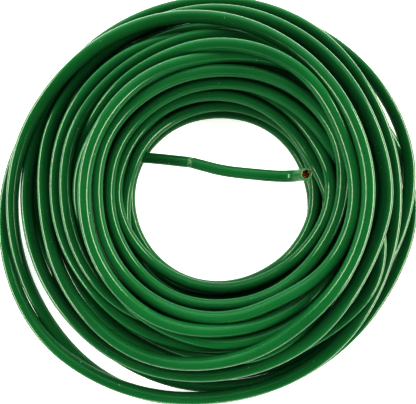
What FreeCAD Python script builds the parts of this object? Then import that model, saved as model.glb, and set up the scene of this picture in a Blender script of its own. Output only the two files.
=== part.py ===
"""A loose coil of single-conductor stranded wire: PVC insulation over 19 bare copper strands.

The coil lies flat on its own turns. +Z is up, the floor is z = 0, and the origin is on the floor
under the middle of the coil's outline. Lengths are in millimetres.
"""
import FreeCAD, Part
import math
import os

import Sketcher

from FreeCAD import Placement, Rotation, Vector

DRIVING = {
    "wire_diameter": 3.0,
    "bore_diameter": 1.86,
    "strand_diameter": 0.361,
    "strand_pitch": 0.366,
    "cut_end_length": 1.7,
    "bundle_x": 0.6,
    "bundle_y": 1.2,
    "bundle_radius": 54.6,
    "bundle_edge_height": 4.5,
    "crest_radius": 34.0,
    "crest_height": 19.6,
    "slope_arc": 36.0,
    "hollow_x": 3.8,
    "hollow_y": 0.9,
    "hollow_radius": 24.6,
    "hollow_wall_height": 11.0,
    "lip_radius": 31.6,
    "shoulder_arc": 10.0,
}

WIRE = DRIVING["wire_diameter"]
FLOOR = WIRE / 2          # centreline height of a turn that lies on the floor
OVER = FLOOR + WIRE + 0.2  # centreline height of a turn that lies over another one

# The outermost turn: out from under the bundle at the far side, round the left and back under it.
OUTER_LOOP = [
    (-14.0, 48.5, FLOOR), (-23.5, 50.5, FLOOR), (-31.6, 47.0, FLOOR), (-39.6, 41.4, FLOOR),
    (-48.0, 30.8, FLOOR), (-55.4, 16.6, FLOOR), (-59.8, 0.9, FLOOR), (-59.6, -15.9, 1.8),
    (-53.2, -31.4, 3.8), (-41.0, -43.3, OVER), (-26.0, -50.7, OVER), (-11.0, -54.4, OVER),
    (4.0, -54.4, OVER), (17.8, -50.8, OVER), (29.8, -44.2, 5.0), (38.6, -34.3, 5.4),
    (44.0, -22.7, 5.8),
]

# The next turn in: over the outermost one at the left, then under it to the right-hand side.
UNDER_LOOP = [
    (-31.0, 38.6, 6.6), (-42.2, 33.0, 6.4), (-50.4, 21.2, 5.6), (-54.8, 7.6, 4.4),
    (-55.4, -7.4, 2.2), (-53.2, -20.9, FLOOR), (-48.0, -33.8, FLOOR), (-39.0, -45.0, FLOOR),
    (-26.8, -52.8, FLOOR), (-11.6, -56.8, FLOOR), (3.8, -57.0, FLOOR), (18.4, -53.9, FLOOR),
    (31.8, -47.4, FLOOR), (43.2, -38.0, FLOOR), (52.0, -26.0, FLOOR), (57.8, -12.2, FLOOR),
    (59.8, 1.6, FLOOR), (56.9, 12.8, FLOOR), (51.4, 22.2, FLOOR), (44.0, 29.6, 2.4),
]

# The wire's last stretch: over the turn above at the right-hand side, then to its outer end.
CROSSING_LOOP = [
    (45.6, -24.4, 5.4), (51.0, -15.4, 5.6), (54.8, -6.4, 5.4), (57.0, 2.8, OVER),
    (57.8, 11.6, OVER), (57.0, 20.6, 3.0), (53.6, 29.6, FLOOR), (47.0, 38.3, FLOOR),
    (40.0, 44.9, FLOOR), (32.3, 50.6, FLOOR), (23.4, 54.9, FLOOR), (13.7, 57.1, FLOOR),
]

# The inner end: out from under the inner turns, across the hollow, then up to the cut.
INNER_TAIL = [
    (-26.0, 14.4, 2.4), (-16.6, 13.0, 3.6), (-4.6, 11.3, 7.0), (5.4, 8.9, 9.4), (12.4, 7.8, 10.8),
    (17.2, 7.3, 11.2), (20.9, 7.2, 11.7), (22.9, 7.2, 14.4), (23.2, 7.2, 17.7),
]


def new_document():
    """The document and its spreadsheet of driving dimensions."""
    doc = FreeCAD.newDocument("wire_coil")
    sheet = doc.addObject("Spreadsheet::Sheet", "Sizes")
    for row, (name, value) in enumerate(DRIVING.items(), start=1):
        sheet.set(f"A{row}", name)
        sheet.set(f"B{row}", str(value))
        sheet.setAlias(f"B{row}", name)
    doc.recompute()
    return doc, sheet


def new_body(doc, label):
    """An empty PartDesign body under its node's name."""
    body = doc.addObject("PartDesign::Body", label)
    body.Label = label
    return body


def sketch_on(body, role, name):
    """A sketch on one of the body's own origin planes."""
    plane = next(o for o in body.Origin.OriginFeatures if o.Role == role)
    sketch = body.newObject("Sketcher::SketchObject", name)
    sketch.AttachmentSupport = (plane, [""])
    sketch.MapMode = "FlatFace"
    return sketch


def size(name):
    """A named driving dimension, or a plain 0."""
    return DRIVING[name] if name else 0.0


def arc_middle(start, end, radius):
    """The middle of an arc of that radius that stands out to the right of start to end."""
    chord = end - start
    rise = radius - math.sqrt(radius**2 - (chord.Length / 2) ** 2)
    right = Vector(chord.y, -chord.x, 0).normalize()
    return (start + end) * 0.5 + right * rise


def outline(sketch, corners, arcs):
    """A closed outline whose corners and arc radii are bound to the spreadsheet.

    corners holds the names of each corner's distances from the axis and from the floor, with None
    for zero. arcs maps the number of the corner that an arc starts from to its radius's name, and to
    whether it stands out to the right of the way the outline runs.
    """
    spots = [Vector(size(x), size(z), 0) for x, z in corners]
    starts = []
    for n, spot in enumerate(spots):
        after = spots[(n + 1) % len(spots)]
        if n in arcs:
            name, to_the_right = arcs[n]
            ends = (spot, after) if to_the_right else (after, spot)
            middle = arc_middle(*ends, size(name))
            made = sketch.addGeometry(Part.Arc(spot, middle, after), False)
            radius = sketch.addConstraint(Sketcher.Constraint("Radius", made, size(name)))
            sketch.setExpression(f"Constraints[{radius}]", f"Sizes.{name}")
        else:
            made = sketch.addGeometry(Part.LineSegment(spot, after), False)
        at_start = sketch.getPoint(made, 1).distanceToPoint(spot) < 1e-6
        starts.append((made, 1 if at_start else 2, 2 if at_start else 1))
    for n, (made, first, _) in enumerate(starts):
        before, _, last = starts[n - 1]
        sketch.addConstraint(Sketcher.Constraint("Coincident", before, last, made, first))
        for kind, axis, name in (("DistanceX", -2, corners[n][0]), ("DistanceY", -1, corners[n][1])):
            if name:
                made_at = sketch.addConstraint(
                    Sketcher.Constraint(kind, -1, 1, made, first, size(name))
                )
                sketch.setExpression(f"Constraints[{made_at}]", f"Sizes.{name}")
            else:
                sketch.addConstraint(Sketcher.Constraint("PointOnObject", made, first, axis))


def spin(body, kind, sketch, name):
    """Turns a sketch right round the body's vertical axis, to add or to cut."""
    feature = body.newObject(kind, name)
    feature.Profile = sketch
    feature.ReferenceAxis = (sketch, ["V_Axis"])
    feature.Angle = 360.0
    return feature


def wound_coil(doc):
    """The bundle of turns: a domed ring whose hollow is off its centre."""
    body = new_body(doc, "wound_coil")
    dome = sketch_on(body, "XZ_Plane", "Dome")
    dome_corners = [
        (None, None), ("bundle_radius", None), ("bundle_radius", "bundle_edge_height"),
        ("crest_radius", "crest_height"), (None, "crest_height"),
    ]
    outline(dome, dome_corners, {2: ("slope_arc", True)})
    spin(body, "PartDesign::Revolution", dome, "Bundle")
    doc.recompute()
    dome_volume = body.Shape.Volume

    hollow = sketch_on(body, "XZ_Plane", "Hollow")
    hollow.setExpression("AttachmentOffset.Base.x", "Sizes.hollow_x - Sizes.bundle_x")
    hollow.setExpression("AttachmentOffset.Base.z", "Sizes.bundle_y - Sizes.hollow_y")
    hollow_corners = [
        (None, None), ("hollow_radius", None), ("hollow_radius", "hollow_wall_height"),
        ("lip_radius", "crest_height"), (None, "crest_height"),
    ]
    outline(hollow, hollow_corners, {2: ("shoulder_arc", False)})
    spin(body, "PartDesign::Groove", hollow, "HollowCut")
    body.setExpression("Placement.Base.x", "Sizes.bundle_x")
    body.setExpression("Placement.Base.y", "Sizes.bundle_y")
    doc.recompute()
    least = math.pi * size("hollow_radius") ** 2 * size("hollow_wall_height")
    if dome_volume - body.Shape.Volume < least:
        raise RuntimeError("the hollow was not cut")
    return body


def rounded_path(points):
    """Straight runs joined by the largest tangent arcs that fit, and the arcs' radii."""
    corners = [Vector(*p) for p in points]
    edges, radii = [], []
    at = corners[0]
    for before, corner, after in zip(corners, corners[1:], corners[2:]):
        into = corner - before
        out = after - corner
        setback = 0.45 * min(into.Length, out.Length)
        turn = into.getAngle(out)
        radii.append(setback / math.tan(turn / 2))
        into.normalize()
        out.normalize()
        start = corner - into * setback
        end = corner + out * setback
        inward = out - into
        inward.normalize()
        depth = radii[-1] * (1 / math.cos(turn / 2) - 1)
        edges.append(Part.LineSegment(at, start).toShape())
        edges.append(Part.Arc(start, corner + inward * depth, end).toShape())
        at = end
    edges.append(Part.LineSegment(at, corners[-1]).toShape())
    return Part.Wire(edges), radii


def along(start, end, distance):
    """The point at a distance from start towards end."""
    step = Vector(*end) - Vector(*start)
    step.normalize()
    return tuple(Vector(*start) + step * distance)


def tube(doc, label, points):
    """A wire-thick tube along a route."""
    path, radii = rounded_path(points)
    spine = doc.addObject("Part::Feature", f"{label}_route")
    spine.Shape = path
    ring = doc.addObject("Part::Circle", f"{label}_section")
    ring.setExpression("Radius", "Sizes.wire_diameter / 2")
    heading = Vector(*points[1]) - Vector(*points[0])
    ring.Placement = Placement(Vector(*points[0]), Rotation(Vector(0, 0, 1), heading))
    sweep = doc.addObject("Part::Sweep", label)
    sweep.Sections = [ring]
    sweep.Spine = (spine, [f"Edge{n + 1}" for n in range(len(path.Edges))])
    sweep.Solid = True
    sweep.Frenet = False
    sweep.Label = label
    doc.recompute()
    expected = math.pi * WIRE**2 / 4 * path.Length
    share = sweep.Shape.Volume / expected
    print(f"{label}: {path.Length:.1f} mm, volume {share:.4f} of section x length, "
          f"smallest radius {min(radii):.1f} mm, largest {max(radii):.1f} mm")
    if abs(share - 1) > 0.01:
        raise RuntimeError(f"{label}'s tube has the wrong volume")
    return sweep


def trimmed(doc, label, whole, bundle):
    """A tube cut off where it meets the bundle's surface."""
    cut = doc.addObject("Part::Cut", label)
    cut.Base = whole
    cut.Tool = bundle
    whole.Label = f"{label}_whole"
    cut.Label = label
    doc.recompute()
    return cut


def cut_end_placement(tip, inner):
    """The frame of a cut end: its origin where the plain tube stops, +Z out of the cut."""
    facing = Vector(*tip) - Vector(*inner)
    start = along(tip, inner, DRIVING["cut_end_length"])
    return Placement(Vector(*start), Rotation(Vector(0, 0, 1), facing))


def end_jacket(doc, label, placement):
    """The insulation at a cut end, with the bore that holds the strands."""
    body = new_body(doc, label)
    sketch = sketch_on(body, "XY_Plane", f"{label}_ring")
    for name in ("wire_diameter", "bore_diameter"):
        circle = Part.Circle(Vector(0, 0, 0), Vector(0, 0, 1), size(name) / 2)
        made = sketch.addGeometry(circle, False)
        sketch.addConstraint(Sketcher.Constraint("Coincident", made, 3, -1, 1))
        across = sketch.addConstraint(Sketcher.Constraint("Diameter", made, size(name)))
        sketch.setExpression(f"Constraints[{across}]", f"Sizes.{name}")
    pad = body.newObject("PartDesign::Pad", f"{label}_pad")
    pad.Profile = sketch
    pad.setExpression("Length", "Sizes.cut_end_length")
    body.Placement = placement
    return body


def strand_spots():
    """The lay of 19 strands: one in the middle, six around it and twelve around those."""
    pitch = DRIVING["strand_pitch"]
    spots = [(0.0, 0.0)]
    for ring, count in ((1, 6), (2, 12)):
        for n in range(count):
            turn = 2 * math.pi * n / count
            # on the second ring every other strand nests between two of the first ring's
            reach = pitch * ring if ring == 1 or n % 2 == 0 else pitch * math.sqrt(3)
            spots.append((reach * math.cos(turn), reach * math.sin(turn)))
    return spots


def strand(doc, number, spot, ends):
    """One strand's stretch inside each cut end."""
    label = f"strand_{number:02d}"
    pieces = []
    for side, placement in ends.items():
        rod = doc.addObject("Part::Cylinder", f"{label}_{side}")
        rod.setExpression("Radius", "Sizes.strand_diameter / 2")
        rod.setExpression("Height", "Sizes.cut_end_length")
        rod.Placement = placement.multiply(Placement(Vector(*spot, 0), Rotation()))
        pieces.append(rod)
    pair = doc.addObject("Part::Compound", label)
    pair.Links = pieces
    pair.Label = label
    return pair


def check(doc):
    """Stops at any object that failed to build."""
    for item in doc.Objects:
        bad = [state for state in item.State if state in ("Invalid", "Error")]
        if bad:
            raise RuntimeError(f"{item.Label} is {bad}")


def export(pieces):
    """Writes one STEP file per node."""
    os.makedirs("parts", exist_ok=True)
    for piece in pieces:
        shape = piece.Shape
        if shape.isNull() or not shape.isValid() or not shape.Solids:
            raise RuntimeError(f"{piece.Label} has no valid solid")
        shape.exportStep(f"parts/{piece.Label}.step")
        print(f"{piece.Label}: {len(shape.Solids)} solids, {shape.Volume:.1f} mm3")


def main():
    doc, _ = new_document()
    bundle = wound_coil(doc)
    end_length = DRIVING["cut_end_length"]

    outer_end = cut_end_placement(CROSSING_LOOP[-1], CROSSING_LOOP[-2])
    crossing_route = CROSSING_LOOP[:-1] + [along(CROSSING_LOOP[-1], CROSSING_LOOP[-2], end_length)]
    inner_end = cut_end_placement(INNER_TAIL[-1], INNER_TAIL[-2])
    inner_route = INNER_TAIL[:-1] + [along(INNER_TAIL[-1], INNER_TAIL[-2], end_length)]

    pieces = [bundle]
    routes = {
        "outer_loop": OUTER_LOOP,
        "under_loop": UNDER_LOOP,
        "crossing_loop": crossing_route,
        "inner_tail": inner_route,
    }
    for label, route in routes.items():
        pieces.append(trimmed(doc, label, tube(doc, f"{label}_whole", route), bundle))
    pieces.append(end_jacket(doc, "outer_end_jacket", outer_end))
    pieces.append(end_jacket(doc, "inner_end_jacket", inner_end))
    ends = {"outer": outer_end, "inner": inner_end}
    for number, spot in enumerate(strand_spots(), start=1):
        pieces.append(strand(doc, number, spot, ends))

    doc.recompute()
    check(doc)
    export(pieces)


main()
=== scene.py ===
"""A loose coil of green PVC-insulated wire: one continuous wire, its strands, a floor and lights."""
import math
import random

import bpy
import numpy as np
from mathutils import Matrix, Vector


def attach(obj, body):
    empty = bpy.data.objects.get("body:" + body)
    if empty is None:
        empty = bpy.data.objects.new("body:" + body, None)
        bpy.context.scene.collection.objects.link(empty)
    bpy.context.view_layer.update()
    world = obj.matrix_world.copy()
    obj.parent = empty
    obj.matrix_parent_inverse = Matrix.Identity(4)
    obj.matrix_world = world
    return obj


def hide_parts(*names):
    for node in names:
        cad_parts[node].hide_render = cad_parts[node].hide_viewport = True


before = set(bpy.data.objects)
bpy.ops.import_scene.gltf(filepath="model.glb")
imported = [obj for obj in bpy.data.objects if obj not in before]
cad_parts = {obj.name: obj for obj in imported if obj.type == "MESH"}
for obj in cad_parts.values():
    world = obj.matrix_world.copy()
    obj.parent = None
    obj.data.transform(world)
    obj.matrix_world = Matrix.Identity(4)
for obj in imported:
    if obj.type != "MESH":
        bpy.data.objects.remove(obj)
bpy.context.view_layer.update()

MM = 0.001

# ---- the wire, in millimetres -------------------------------------------------------------
WIRE = 3.0               # diameter over the insulation
BORE = 1.9               # diameter of the insulation's bore
STRAND = 0.361           # diameter of one strand
STRAND_PITCH = 0.366     # distance between the middles of neighbouring strands
STRAND_LAY = 28.0        # length of one turn of the strands' twist
FLOOR = WIRE / 2         # centreline height of a turn that lies on the floor
BORE_DEPTH = 2.4         # how far each cut end is modelled as an open bore
SWELL = 0.006            # unevenness of the insulation, as a share of its radius
SWELL_APART = 20.0       # distance along the wire from one swelling to the next

# A cut end's rings, as (depth inside the cut, radius), from the bore's bottom out to the rim.
CUT_END = [
    (BORE_DEPTH, BORE / 2), (BORE_DEPTH / 2, BORE / 2), (0.12, BORE / 2), (0.0, BORE / 2 + 0.06),
    (-0.02, WIRE / 2 - 0.1), (0.03, WIRE / 2 - 0.015),
]

PROUD = (-0.7, 0.12)     # least and most that a strand stands out of a cut
STRAY_STRAND = 9         # the one that stands out more at the inner end, and leans outward
STRAY_PROUD = 0.75       # how far it stands out
STRAY_SPLAY = 0.55       # how strongly it leans
SPLAY_DEPTH = 0.4        # how deep inside the cut it starts to lean

# ---- the coil, in millimetres and degrees ---------------------------------------------------
AXIS = (3.8, 0.9)        # the hollow's axis
HOLLOW = 24.7            # nearest that a turn's centreline comes to the axis
STATION = 5              # the turns are settled at stations this many degrees apart
DRAWN = 30               # the route has a point at every 30 degrees
START = 150              # the route starts two points on from here, past the inner end's last
END_TRIM = 10            # the outer end stops this many degrees short of its last point

# Hidden turns, before they settle. The leans are in millimetres for each millimetre of height.
HIDDEN_FROM = 26         # distance of the innermost ones from the axis, on the floor
INNER_LEAN = 0.55        # how much further out the innermost ones lie
OUTER_LEAN = 0.9         # how much less far the outermost ones reach
WOBBLE = 0.5             # how far out of round a turn is
WOBBLE_SHIFT = 0.31      # radians between one point's wobble and the next

# How all the turns settle.
PULLED_STEPS = 600       # steps in which the turns are pulled to their drawn places and sink
FREE_STEPS = 40          # steps after those, in which they only make room for each other
PUSHES = 2               # pushes apart in each step
SHOWN_PULL = 0.10        # share of the way back to its drawn place, for a turn that shows
HIDDEN_PULL = 0.01       # the same for a hidden turn
HIDDEN_SINK = 0.02       # millimetres that a hidden turn sinks in each step
SPACING = WIRE * 1.005   # distance that turns are pushed apart to
PUSH_OUT = 0.28          # share of an overlap that a push takes up across the bundle
PUSH_UP = 0.38           # the same up and down
HIDDEN_CLEAR = 3.4       # how much further out than the hollow's edge hidden turns stay
CLEAR_LEAN = 0.5         # how much more of that for each millimetre of height
REACH_LEAN = 0.7         # how much less far they may reach for each millimetre of height
EASE = 0.25              # share of an uneven shift that is evened out along the wire

# How far out the bundle's turns reach on the floor, at every 30 degrees.
REACH = [51, 52, 55, 57.5, 58, 59, 57.5, 56, 54.5, 54, 53.5, 52.5]

# The inner end, from the cut across the hollow, over the lowest turn and under the next one.
INNER_TAIL = [
    (23.2, 7.2, 17.7), (22.9, 7.2, 14.4), (20.9, 7.2, 11.7), (17.2, 7.3, 11.2), (12.4, 7.8, 10.8),
    (4.2, 8.8, 9.4), (-2.6, 10.8, 7.8), (-4.6, 11.4, 7.4), (-6.8, 11.7, 7.0), (-14.6, 12.8, 5.3),
    (-21.0, 13.3, 4.5), (-26.5, 12.4, 4.4), (-31.0, 9.2, 4.4), (-33.6, 4.0, 4.4), (-34.4, -2.5, 4.4),
]
CREASE = (-4.6, 11.3, 7.5)     # where the inner end is bent sharply and its colour is whitened
BURIED_FROM = 7                # the inner end's first point that a turn may lie over
BURIED_ANGLES = (135, 200)     # the angles between which turns may lie over it
OVER_MARGIN = 0.5              # a turn counts as over it down to this far below its middle

# Turns that show, as (distance from the axis, height) at every 30 degrees.
# The two turns at the hollow's foot. The inner end crosses over the first and under the second.
FOOT = [
    (26, 1.5), (27, 1.5), (27, 1.5), (26.5, 1.5), (26, 1.5), (26.5, 1.5), (27, 1.5), (27, 1.5),
    (26.5, 1.5), (26, 1.5), (25.5, 1.5), (25.5, 1.5), (26.5, 2.5), (27.5, 4), (27.5, 4), (27, 4),
    (27, 4), (27, 5), (27, 7.5), (27.5, 5.5), (28.5, 4.5),
]
# The wall of the hollow, its lowest turn that shows first.
LOW_WALL = [
    (27, 6), (27.5, 6.5), (28.5, 7), (29, 7.5), (29.5, 7.5), (29, 7), (28.5, 6.5), (26.5, 6),
    (25, 5.5), (24.5, 5), (25, 5), (26.5, 6.5), (28.5, 8), (29.5, 8.5), (30.5, 8),
]
# From the middle of the wall up to its brim.
WALL_TO_BRIM = [
    (32, 9.5), (32, 10), (31.5, 10), (31, 10.5), (31, 10.5), (30, 10.5), (29, 10), (28.5, 10),
    (27.5, 10), (27.5, 10.5), (28.5, 10.5), (30.5, 12), (33, 13.5), (33.5, 13.5), (33, 13.5),
    (33, 14), (33, 14.5), (31.5, 14.5), (31, 14.5), (30, 14.5), (29, 14.5), (28, 15), (30.5, 15.5),
    (32, 16.5), (33, 16.5), (36.5, 16), (37, 15.5), (38, 12.5),
]
# The topmost turn at the left, which dives under the brim at the lower right.
CREST = [
    (37, 11.5), (36.5, 14), (35.5, 16.5), (34, 18), (33, 18), (33, 17.5), (33, 16.5), (32, 15),
    (32.5, 13), (33.5, 11.5),
]
# Two dim stretches in the valley between the crest and the outer turns.
VALLEY = [(42, 8), (44.5, 8.5), (44, 9), (42.5, 10), (39.5, 12), (37.5, 13)]
UPPER_VALLEY = [(47.5, 8), (46.5, 9), (43.5, 10), (40, 11.5), (38.5, 12), (38, 11), (38.5, 10)]
# The four turns wound last: the wide loop at the left first, the one at the right last.
LAST_TURNS = [
    (53, 1.5), (57, 1.5), (59, 1.5), (63.5, 1.5), (64.5, 2.5), (59.5, 5), (55, 5), (51.5, 6),
    (48, 7.5), (46.5, 8.5), (48, 8), (51.5, 7), (55.5, 5), (56.5, 4.2), (56, 4), (55.5, 4),
    (52.5, 6.5), (50, 8.5), (45, 11), (40.5, 13.5), (38.5, 14.5), (39.5, 14.5), (42, 13.5),
    (47, 11), (51.5, 8.5), (53, 6), (52, 5), (47.5, 7.5), (46, 11), (44.5, 13), (39.5, 15),
    (35, 16.5), (33.5, 17.5), (33.5, 18), (35.5, 17.5), (40, 15.5), (46.5, 12.5), (52.5, 9),
    (55.5, 7), (59, 4.5), (62, 1.5), (62.4, 1.5), (58, 1.5), (55.5, 1.5), (55, 1.5), (55.8, 1.5),
    (49, 1.5), (47.5, 3.5),
]
# The outer end. It rises over turns at the right, comes down and ends under one at the far side.
OUTER_END = [
    (54.5, 1.5), (54, 2), (51.5, 3.5), (48, 4.5), (51.7, 5), (56.4, 2), (57, 1.5), (56, 1.5),
]


# ---- winding --------------------------------------------------------------------------------
class Winding:
    """The wire's route round the axis as points of (angle, distance, height, shows)."""

    def __init__(self, angle):
        self.points = []
        self.angle = angle

    def add(self, angle, distance, height, shows):
        self.points.append((angle, distance, height, shows))
        self.angle = angle

    def hidden(self, turns, shares, height):
        """Turns inside the bundle, from one share of its width to another, a little out of round."""
        start = self.angle + 2 * DRAWN
        count = round(turns * 360 / DRAWN)
        inner = HIDDEN_FROM + INNER_LEAN * (height - FLOOR)
        for n in range(count + 1):
            angle = start + n * DRAWN
            outer = REACH[angle // DRAWN % len(REACH)] - OUTER_LEAN * (height - FLOOR)
            share = shares[0] + (shares[1] - shares[0]) * n / count
            wobble = WOBBLE * math.sin(math.radians(2 * angle) + len(self.points) * WOBBLE_SHIFT)
            self.add(angle, inner + (outer - inner) * share + wobble, height, 0.0)

    def drawn(self, start, pairs):
        """A stretch with its own points, from the next time round that the start comes up."""
        turn = math.ceil((self.angle + DRAWN - start) / 360)
        for n, (distance, height) in enumerate(pairs):
            self.add(start + 360 * turn + n * DRAWN, distance, height, 1.0)


def smooth(at, values, where):
    """A smooth curve through values, read at where."""
    gaps = np.diff(at)
    slopes = np.diff(values) / gaps
    tangents = np.empty_like(values)
    tangents[0], tangents[-1] = slopes[0], slopes[-1]
    tangents[1:-1] = (slopes[:-1] * gaps[1:] + slopes[1:] * gaps[:-1]) / (gaps[1:] + gaps[:-1])
    n = np.clip(np.searchsorted(at, where, side="right") - 1, 0, len(at) - 2)
    s = (where - at[n]) / gaps[n]
    rise = gaps[n] * (tangents[n] * (s - 2 * s**2 + s**3) + tangents[n + 1] * (s**3 - s**2))
    return values[n] + (values[n + 1] - values[n]) * (3 * s**2 - 2 * s**3) + rise


def wound_route():
    """The whole coil before it settles: angles, distances, heights and what shows, per station."""
    coil = Winding(START)
    coil.hidden(2.5, (0.50, 0.80), 4.2)
    coil.hidden(5.4, (0.87, 0.12), 1.5)
    coil.drawn(330, FOOT)
    coil.hidden(2.4, (0.14, 0.45), 4.2)
    coil.drawn(0, LOW_WALL)
    coil.hidden(3.6, (0.20, 0.80), 6.8)
    coil.drawn(30, WALL_TO_BRIM)
    coil.hidden(2.2, (0.40, 0.22), 9.0)
    coil.drawn(60, CREST)
    coil.hidden(1.2, (0.22, 0.28), 11.2)
    coil.drawn(60, VALLEY)
    coil.hidden(0.35, (0.28, 0.50), 8.0)
    coil.drawn(120, UPPER_VALLEY)
    coil.hidden(1.0, (0.80, 0.92), 1.5)
    coil.drawn(90, LAST_TURNS)
    coil.hidden(0.2, (0.74, 0.74), 4.4)
    coil.drawn(240, OUTER_END)
    angles, distances, heights, shows = (np.array(v, float) for v in zip(*coil.points))
    first = math.ceil(angles[0] / STATION) * STATION
    stations = np.arange(first, angles[-1] - END_TRIM + 0.1, STATION)
    shown = np.interp(stations, angles, shows) > 0.99
    return stations, smooth(angles, distances, stations), smooth(angles, heights, stations), shown


def push_apart(out, up, real, inside, reach):
    """One push in every station's plane, in which overlapping turns give way to each other."""
    itself = np.arange(len(out))
    across = out[:, None, :] - out[None, :, :]
    above = up[:, None, :] - up[None, :, :]
    gap = np.hypot(across, above) + 1e-9
    overlap = np.clip(SPACING - gap, 0, None)
    overlap[itself, itself, :] = 0
    out = out + PUSH_OUT * (overlap * across / gap).sum(1)
    up = np.maximum(up + PUSH_UP * (overlap * above / gap).sum(1), FLOOR)
    closest = np.where(inside, HOLLOW + HIDDEN_CLEAR + CLEAR_LEAN * (up - FLOOR), HOLLOW)
    furthest = np.where(inside, reach - REACH_LEAN * (up - FLOOR), np.inf)
    kept = np.clip(out, closest, furthest)
    return np.where(real, (out + kept) / 2, out), up


def buried_tail():
    """Points close together along the stretch of the inner end that turns may lie over."""
    tail = np.array(INNER_TAIL)[BURIED_FROM:]
    run = np.linspace(0, len(tail) - 1, 60)
    return np.stack([np.interp(run, range(len(tail)), tail[:, k]) for k in range(3)], axis=1)


def lifted_over(tail, distance, height, turned):
    """The heights of turns near the inner end, raised to lie on it where they pass over it."""
    x = AXIS[0] + distance * np.cos(turned)
    y = AXIS[1] + distance * np.sin(turned)
    off = np.hypot(x[:, None] - tail[:, 0], y[:, None] - tail[:, 1])
    lift = tail[:, 2] + np.sqrt(np.clip(WIRE**2 - off**2, 0, None))
    over = (off < WIRE) & (height[:, None] > tail[:, 2] - OVER_MARGIN)
    return np.maximum(height, np.where(over, lift, 0).max(1))


def eased(now, drawn):
    """Distances or heights with their shift from the drawn ones evened out along the wire."""
    shift = now - drawn
    mean = shift.copy()
    mean[2:-2] = (shift[:-4] + shift[1:-3] + shift[2:-2] + shift[3:-1] + shift[4:]) / 5
    return now + EASE * (mean - shift)


def settle(stations, drawn_distance, drawn_height, shown):
    """Lets the turns push each other apart and the hidden ones sink, in each station's plane."""
    per_turn = 360 // STATION
    slot = np.round(stations / STATION).astype(int)
    column, turn = slot % per_turn, slot // per_turn
    turn -= turn.min()
    index = -np.ones((turn.max() + 1, per_turn), int)
    index[turn, column] = np.arange(len(stations))
    real = index >= 0
    inside = real & ~shown[index]
    # Where a turn has no station, its place is far away, and far from every other such place.
    nowhere = 1e5 + 1e3 * np.arange(len(index))[:, None] * np.ones((1, per_turn))
    corners = np.arange(len(REACH) + 1) * DRAWN
    reach = np.interp(np.arange(per_turn) * STATION, corners, np.r_[REACH, REACH[:1]])
    tail = buried_tail()
    first, last = BURIED_ANGLES
    near = np.nonzero((column * STATION >= first) & (column * STATION <= last))[0]
    turned = np.radians(stations)
    pull = np.where(shown, SHOWN_PULL, HIDDEN_PULL)
    sink = np.where(shown, 0.0, HIDDEN_SINK)
    distance, height = drawn_distance.copy(), drawn_height.copy()
    for step in range(PULLED_STEPS + FREE_STEPS):
        if step < PULLED_STEPS:
            height += pull * (drawn_height - height) - sink
            distance += pull * (drawn_distance - distance)
        out = np.where(real, distance[index], nowhere)
        up = np.where(real, height[index], 0.0)
        for _ in range(PUSHES):
            out, up = push_apart(out, up, real, inside, reach)
        distance[index[real]] = out[real]
        height[index[real]] = up[real]
        height[near] = lifted_over(tail, distance[near], height[near], turned[near])
        distance = eased(distance, drawn_distance)
        height = eased(height, drawn_height)
    return distance, np.maximum(height, FLOOR)


def control_points():
    """The wire's control points in metres, from the inner cut end to the outer one."""
    stations, distance, height, shown = wound_route()
    distance, height = settle(stations, distance, height, shown)
    turned = np.radians(stations)
    coil = np.stack([
        AXIS[0] + distance * np.cos(turned), AXIS[1] + distance * np.sin(turned), height,
    ], axis=1)
    return np.vstack([np.array(INNER_TAIL), coil[::2]]) * MM


LINE_POINTS = 8          # points of the centreline for each control point


def wire_line(points):
    """The wire's centreline, read from a smooth NURBS spline with those control points."""
    data = bpy.data.curves.new("wire_route", "CURVE")
    data.dimensions = "3D"
    spline = data.splines.new("NURBS")
    spline.points.add(len(points) - 1)
    spline.points.foreach_set("co", np.c_[points, np.ones(len(points))].ravel())
    spline.order_u = 3
    spline.use_endpoint_u = True
    spline.resolution_u = LINE_POINTS
    holder = bpy.data.objects.new("wire_route", data)
    read = bpy.data.meshes.new_from_object(holder)
    line = np.empty(len(read.vertices) * 3)
    read.vertices.foreach_get("co", line)
    bpy.data.meshes.remove(read)
    bpy.data.objects.remove(holder)
    bpy.data.curves.remove(data)
    return line.reshape(-1, 3)


def length_of(line):
    """The length of a line in metres."""
    return float(np.linalg.norm(np.diff(line, axis=0), axis=1).sum())


def length_at(line, place):
    """The length along a line to where it passes nearest to a place in millimetres."""
    nearest = np.argmin(np.linalg.norm(line - np.array(place) * MM, axis=1))
    return length_of(line[:nearest + 1])


def read_along(line, where):
    """Points of a line at given lengths along it."""
    run = np.r_[0, np.cumsum(np.linalg.norm(np.diff(line, axis=0), axis=1))]
    return np.stack([np.interp(where, run, line[:, k]) for k in range(3)], axis=1)


def frames(line):
    """The way ahead at each point of a line, and two directions across it that don't twist."""
    ahead = np.gradient(line, axis=0)
    ahead /= np.linalg.norm(ahead, axis=1)[:, None]
    side = np.cross(ahead[0], (0, 0, 1.0) if abs(ahead[0][2]) < 0.9 else (0, 1.0, 0))
    sides = []
    for way in ahead:
        side = side - way * (side @ way)
        side = side / np.linalg.norm(side)
        sides.append(side)
    sides = np.array(sides)
    return ahead, sides, np.cross(ahead, sides)


# ---- meshes ---------------------------------------------------------------------------------
RINGS_APART = 2.25 * MM        # distance between the jacket's rings
FINE_RINGS_APART = 0.45 * MM   # the same on the inner end
TAIL_LENGTH = 50 * MM          # length of the inner end that has the fine rings
AROUND = 20                    # vertices round the jacket
STRAND_RINGS = 8               # rings of one strand's stretch
STRAND_AROUND = 10             # vertices round a strand
STRAND_TAPER = 0.9             # size of a strand's last ring, against the others
TIP_POINTS = 12                # points of the centreline that give a cut end its direction


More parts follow.
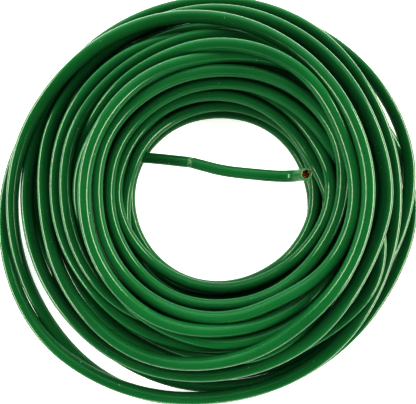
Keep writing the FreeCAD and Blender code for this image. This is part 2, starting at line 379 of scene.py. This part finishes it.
def new_mesh(name, vertices, faces, smooth_faces=True):
    """An object in the scene from vertices in metres and faces of any size."""
    mesh = bpy.data.meshes.new(name)
    mesh.from_pydata([tuple(v) for v in vertices], [], faces)
    mesh.polygons.foreach_set("use_smooth", [smooth_faces] * len(mesh.polygons))
    mesh.update()
    piece = bpy.data.objects.new(name, mesh)
    bpy.context.scene.collection.objects.link(piece)
    return piece


def tube_faces(rings, around):
    """Quads between neighbouring rings of vertices, and a face across each end."""
    faces = []
    for n in range(rings - 1):
        for k in range(around):
            a, b = n * around + k, n * around + (k + 1) % around
            faces.append((a, b, b + around, a + around))
    last = (rings - 1) * around
    faces.append(tuple(range(around))[::-1])
    faces.append(tuple(range(last, last + around)))
    return faces


def lathe_along(name, centres, radii, side, up, lengths):
    """A closed tube of rings with its own straightened coordinates for the material."""
    turn = np.arange(AROUND) * 2 * math.pi / AROUND
    cos, sin = np.cos(turn), np.sin(turn)
    across = side[:, None, :] * cos[None, :, None] + up[:, None, :] * sin[None, :, None]
    vertices = (centres[:, None, :] + across * radii[:, None, None]).reshape(-1, 3)
    piece = new_mesh(name, vertices, tube_faces(len(centres), AROUND))
    straight = np.stack([
        np.repeat(lengths, AROUND),
        (radii[:, None] * cos).ravel(),
        (radii[:, None] * sin).ravel(),
    ], axis=1)
    layer = piece.data.attributes.new("straight", "FLOAT_VECTOR", "POINT")
    layer.data.foreach_set("vector", straight.ravel())
    return piece


def ring_places(total):
    """Lengths along the wire for its rings: close together on the tail, which shows its bends."""
    tail = np.arange(0, TAIL_LENGTH, FINE_RINGS_APART)
    rest = np.linspace(TAIL_LENGTH, total, round((total - TAIL_LENGTH) / RINGS_APART))
    return np.r_[tail, rest]


def padded(values):
    """Values for each ring, with the first and last repeated for all of a cut end's rings."""
    first = np.repeat(values[:1], len(CUT_END), 0)
    last = np.repeat(values[-1:], len(CUT_END), 0)
    return np.concatenate([first, values[1:-1], last])


def jacket(line, total):
    """The insulation: one tube over the whole wire, with an open bore at each cut end."""
    places = ring_places(total)
    middles = read_along(line, places)
    ahead, side, up = frames(middles)
    generator = np.random.default_rng(14)
    knots = np.arange(0, total + SWELL_APART * MM, SWELL_APART * MM)
    swell = np.interp(places, knots, generator.normal(0, SWELL, len(knots)))
    radii = WIRE / 2 * MM * (1 + swell)
    depth, radius = np.array(CUT_END).T * MM
    first = middles[0] + ahead[0] * depth[:, None]
    last = middles[-1] - ahead[-1] * depth[:, None]
    centres = np.vstack([first, middles[1:-1], last[::-1]])
    radii = np.r_[radius, radii[1:-1], radius[::-1]]
    piece = lathe_along("wire_jacket", centres, radii, padded(side), padded(up), padded(places))
    return piece, middles


def strand_spots():
    """Where 19 strands lie in the bore: one, six round it and twelve round those."""
    spots = [(0.0, 0.0)]
    for ring, count in ((1, 6), (2, 12)):
        for n in range(count):
            reach = STRAND_PITCH * (ring if ring == 1 or n % 2 == 0 else math.sqrt(3))
            spots.append((reach, 2 * math.pi * n / count))
    return spots


def tip_frame(line, at_start):
    """A cut end's middle, the way out of the cut and two directions across it."""
    near = line[:TIP_POINTS] if at_start else line[::-1][:TIP_POINTS]
    out = near[0] - near[-1]
    out = out / np.linalg.norm(out)
    side = np.cross((0, 1.0, 0), out)
    side /= np.linalg.norm(side)
    return near[0], out, side, np.cross(out, side)


def strand_stretch(tip, spot, proud, splay):
    """One strand's vertices and faces at one cut end, twisted with its neighbours."""
    middle, out, side, up = tip
    reach, turned = spot
    depths = np.linspace(-BORE_DEPTH, proud, STRAND_RINGS)
    radii = np.full(STRAND_RINGS, STRAND / 2)
    radii[-1] *= STRAND_TAPER
    vertices = []
    for depth, radius in zip(depths, radii):
        angle = turned + 2 * math.pi * depth / STRAND_LAY
        lean = splay * max(depth + SPLAY_DEPTH, 0) ** 2
        x = (reach + lean) * math.cos(angle)
        y = (reach + lean) * math.sin(angle)
        for k in range(STRAND_AROUND):
            spin = 2 * math.pi * k / STRAND_AROUND
            offset = side * (x + radius * math.cos(spin))
            offset = offset + up * (y + radius * math.sin(spin)) + out * depth
            vertices.append(middle + offset * MM)
    return vertices, tube_faces(STRAND_RINGS, STRAND_AROUND)


def copper_strands(line):
    """Nineteen strands, each one piece with a stretch in both cut ends."""
    dice = random.Random(19)
    tips = [tip_frame(line, True), tip_frame(line, False)]
    pieces = []
    for number, spot in enumerate(strand_spots(), start=1):
        vertices, faces = [], []
        for which, tip in enumerate(tips):
            proud = dice.uniform(*PROUD)
            splay = 0.0
            if which == 0 and number == STRAY_STRAND:
                proud, splay = STRAY_PROUD, STRAY_SPLAY
            more, more_faces = strand_stretch(tip, spot, proud, splay)
            faces += [tuple(v + len(vertices) for v in face) for face in more_faces]
            vertices += more
        pieces.append(new_mesh(f"copper_{number:02d}", vertices, faces))
    return pieces


# ---- materials ------------------------------------------------------------------------------
# Colours, as linear red, green and blue.
GREENS = ((0.011, 0.122, 0.038), (0.016, 0.152, 0.048))
DUST = (0.30, 0.42, 0.30)
WHITENED_GREEN = (0.35, 0.50, 0.36)
CUT_GREEN = (0.052, 0.185, 0.075)
BROWNED, DULL_COPPER, BRIGHT_COPPER = (0.05, 0.015, 0.008), (0.34, 0.11, 0.045), (0.70, 0.33, 0.17)
FLOOR_WHITES = ((0.90, 0.90, 0.90), (0.94, 0.94, 0.94))


class Nodes:
    """Short calls for a material's node tree."""

    def __init__(self, name):
        self.material = bpy.data.materials.new(name)
        self.material.use_nodes = True
        self.tree = self.material.node_tree
        self.shader = self.tree.nodes["Principled BSDF"]

    def add(self, kind, **values):
        node = self.tree.nodes.new(kind)
        for key, value in values.items():
            setattr(node, key, value)
        return node

    def link(self, source, target):
        self.tree.links.new(source, target)

    def noise(self, vector, scale, detail=3.0, roughness=0.5):
        node = self.add("ShaderNodeTexNoise")
        node.inputs["Scale"].default_value = scale
        node.inputs["Detail"].default_value = detail
        node.inputs["Roughness"].default_value = roughness
        self.link(vector, node.inputs["Vector"])
        return node.outputs["Fac"]

    def stretched(self, vector, scale):
        node = self.add("ShaderNodeMapping")
        node.inputs["Scale"].default_value = scale
        self.link(vector, node.inputs["Vector"])
        return node.outputs["Vector"]

    def ramp(self, value, stops):
        node = self.add("ShaderNodeValToRGB")
        steps = node.color_ramp.elements
        while len(steps) < len(stops):
            steps.new(0.5)
        for step, (place, colour) in zip(steps, stops):
            step.position = place
            step.color = (*colour, 1)
        self.link(value, node.inputs["Fac"])
        return node.outputs["Color"]

    def spread(self, value, low, high, to_low, to_high):
        node = self.add("ShaderNodeMapRange")
        keys = ("From Min", "From Max", "To Min", "To Max")
        for key, number in zip(keys, (low, high, to_low, to_high)):
            node.inputs[key].default_value = number
        self.link(value, node.inputs["Value"])
        return node.outputs["Result"]

    def worked_out(self, operation, *values):
        """A Math node's result, from numbers and other nodes' outputs."""
        node = self.add("ShaderNodeMath", operation=operation)
        for socket, value in zip(node.inputs, values):
            if isinstance(value, float):
                socket.default_value = value
            else:
                self.link(value, socket)
        return node.outputs[0]

    def mixed(self, share, first, second):
        node = self.add("ShaderNodeMix", data_type="RGBA")
        self.link(share, node.inputs["Factor"])
        for socket, value in ((node.inputs[6], first), (node.inputs[7], second)):
            if isinstance(value, tuple):
                socket.default_value = (*value, 1)
            else:
                self.link(value, socket)
        return node.outputs[2]

    def bump(self, height, distance, strength=1.0, after=None):
        node = self.add("ShaderNodeBump")
        node.inputs["Distance"].default_value = distance
        node.inputs["Strength"].default_value = strength
        self.link(height, node.inputs["Height"])
        if after is not None:
            self.link(after, node.inputs["Normal"])
        return node.outputs["Normal"]


def insulation_material(crease):
    """Glossy green PVC with faint die lines and dust, whitened at the crease, paler where cut."""
    nodes = Nodes("green_pvc")
    straight = nodes.add("ShaderNodeAttribute", attribute_name="straight").outputs["Vector"]
    along = nodes.stretched(straight, (8.0, 700.0, 700.0))
    die_lines = nodes.noise(along, 1.0, 2.0)
    cloudy = nodes.noise(straight, 45.0, 2.0)
    fine = nodes.noise(straight, 900.0, 2.0, 0.5)
    green = nodes.ramp(cloudy, [(0.3, GREENS[0]), (0.7, GREENS[1])])
    specks = nodes.spread(nodes.noise(straight, 1500.0, 0.0), 0.83, 0.86, 0.0, 0.5)
    dusty = nodes.mixed(specks, green, DUST)
    parts = nodes.add("ShaderNodeSeparateXYZ")
    nodes.link(straight, parts.inputs["Vector"])
    run = parts.outputs["X"]
    from_crease = nodes.worked_out("ABSOLUTE", nodes.worked_out("SUBTRACT", run, crease))
    creased = nodes.spread(from_crease, 0.0002, 0.0008, 0.55, 0.0)
    broken = nodes.worked_out("MULTIPLY", creased, nodes.spread(fine, 0.42, 0.58, 0.0, 1.0))
    whitened = nodes.mixed(broken, dusty, WHITENED_GREEN)
    cut = nodes.spread(run, 0.00005, 0.00020, 0.9, 0.0)
    nodes.link(nodes.mixed(cut, whitened, CUT_GREEN), nodes.shader.inputs["Base Color"])
    nodes.link(nodes.spread(fine, 0.3, 0.7, 0.13, 0.19), nodes.shader.inputs["Roughness"])
    waves = nodes.bump(cloudy, 0.0003, 0.3)
    nodes.link(nodes.bump(die_lines, 0.00002, 0.07, waves), nodes.shader.inputs["Normal"])
    nodes.shader.inputs["IOR"].default_value = 1.5
    nodes.shader.inputs["Specular IOR Level"].default_value = 0.5
    return nodes.material


def copper_material():
    """Bare copper in bright, dull and browned patches."""
    nodes = Nodes("bare_copper")
    place = nodes.add("ShaderNodeTexCoord").outputs["Object"]
    patches = nodes.noise(place, 2600.0, 3.0)
    colour = nodes.ramp(patches, [(0.3, BROWNED), (0.55, DULL_COPPER), (0.8, BRIGHT_COPPER)])
    nodes.link(colour, nodes.shader.inputs["Base Color"])
    nodes.link(nodes.spread(patches, 0.3, 0.7, 0.48, 0.28), nodes.shader.inputs["Roughness"])
    scratches = nodes.noise(place, 9000.0, 2.0)
    nodes.link(nodes.bump(scratches, 0.00001, 0.6), nodes.shader.inputs["Normal"])
    nodes.shader.inputs["Metallic"].default_value = 1.0
    return nodes.material


def floor_material():
    """A plain matt white tabletop that glows, so that the ground behind the coil stays white."""
    nodes = Nodes("white_floor")
    place = nodes.add("ShaderNodeTexCoord").outputs["Object"]
    grain = nodes.noise(place, 400.0, 2.0)
    white = nodes.ramp(grain, [(0.0, FLOOR_WHITES[0]), (1.0, FLOOR_WHITES[1])])
    nodes.link(white, nodes.shader.inputs["Base Color"])
    nodes.shader.inputs["Roughness"].default_value = 0.7
    nodes.shader.inputs["Emission Color"].default_value = (1, 1, 1, 1)
    nodes.shader.inputs["Emission Strength"].default_value = 0.7
    return nodes.material


# ---- the wire, built --------------------------------------------------------------------------
print("winding the wire")
line = wire_line(control_points())
length = length_of(line)
print("wire length", round(length, 3), "m")
inner_end = line[:len(INNER_TAIL) * LINE_POINTS]

wire_jacket, ring_centres = jacket(line, length)
wire_jacket.data.materials.append(insulation_material(length_at(inner_end, CREASE)))
strands = copper_strands(line)
copper = copper_material()
for strand in strands:
    strand.data.materials.append(copper)


# ---- what each piece stands for ---------------------------------------------------------------
green_nodes = [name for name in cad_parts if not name.startswith("strand_")]
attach(wire_jacket, "root")
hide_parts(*green_nodes)
for number, strand in enumerate(strands, start=1):
    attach(strand, "root")
    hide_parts(f"strand_{number:02d}")


# ---- floor, light and camera ------------------------------------------------------------------
def stage_floor():
    """A wide floor under the coil."""
    half = 1.5
    corners = [(-half, -half, 0), (half, -half, 0), (half, half, 0), (-half, half, 0)]
    floor = new_mesh("floor", corners, [(0, 1, 2, 3)], False)
    floor.data.materials.append(floor_material())


def panel(name, place, size, power, colour=(1, 1, 1), mirrored=True):
    """A flat light that faces the coil: its width and height, its watts, and if it is mirrored."""
    data = bpy.data.lights.new(name, "AREA")
    data.shape = "RECTANGLE"
    data.size, data.size_y = size
    data.energy = power
    data.color = colour
    light = bpy.data.objects.new(name, data)
    light.location = place
    light.rotation_euler = (-Vector(place)).to_track_quat("-Z", "Y").to_euler()
    light.visible_glossy = mirrored
    bpy.context.scene.collection.objects.link(light)


def lights():
    """Low soft lights on every side."""
    warm = (1.0, 0.80, 0.74)
    panel("left_box", (-0.60, 0.0, 0.32), (0.9, 0.20), 8.4, warm)
    panel("right_box", (0.60, 0.0, 0.32), (0.9, 0.20), 9.6, warm)
    panel("back_box", (0.0, 0.60, 0.34), (0.9, 0.70), 6.5, mirrored=False)
    panel("back_sheen", (0.0, 0.60, 0.40), (0.9, 0.80), 2.2)
    panel("front_box", (0.0, -0.60, 0.26), (0.8, 0.18), 2.2, mirrored=False)


def room():
    """A room whose pale walls fade to a dark ceiling from 14 to 33 degrees above level."""
    world = bpy.data.worlds.new("room")
    world.use_nodes = True
    tree = world.node_tree
    way = tree.nodes.new("ShaderNodeTexCoord")
    parts = tree.nodes.new("ShaderNodeSeparateXYZ")
    rise = tree.nodes.new("ShaderNodeMapRange")
    rise.inputs["From Min"].default_value = 0.25
    rise.inputs["From Max"].default_value = 0.55
    rise.inputs["To Min"].default_value = 1.5
    rise.inputs["To Max"].default_value = 0.01
    tree.links.new(way.outputs["Generated"], parts.inputs["Vector"])
    tree.links.new(parts.outputs["Z"], rise.inputs["Value"])
    tree.links.new(rise.outputs["Result"], tree.nodes["Background"].inputs["Strength"])
    tree.nodes["Background"].inputs["Color"].default_value = (1, 1, 1, 1)
    bpy.context.scene.world = world


def picture():
    """How light becomes colour: no film curve, and a gamma that deepens the dark tones."""
    view = bpy.context.scene.view_settings
    view.view_transform = "Standard"
    view.gamma = 0.65


CAMERA_HEIGHT = 84 * MM
CAMERA_SHIFT = 0.6 * MM      # how far beyond the coil's middle the camera stands
VIEW_WIDTH = 122.35 * MM     # what the frame takes in at the height of a turn on the floor


def camera():
    """Straight above the coil, close, with +Y up the frame."""
    data = bpy.data.cameras.new("camera")
    data.sensor_width = 36.0
    data.lens = 36.0 * (CAMERA_HEIGHT - FLOOR * MM) / VIEW_WIDTH
    data.clip_start = 0.005
    viewer = bpy.data.objects.new("camera", data)
    viewer.location = (0, CAMERA_SHIFT, CAMERA_HEIGHT)
    bpy.context.scene.collection.objects.link(viewer)
    bpy.context.scene.camera = viewer


stage_floor()
lights()
room()
picture()
camera()
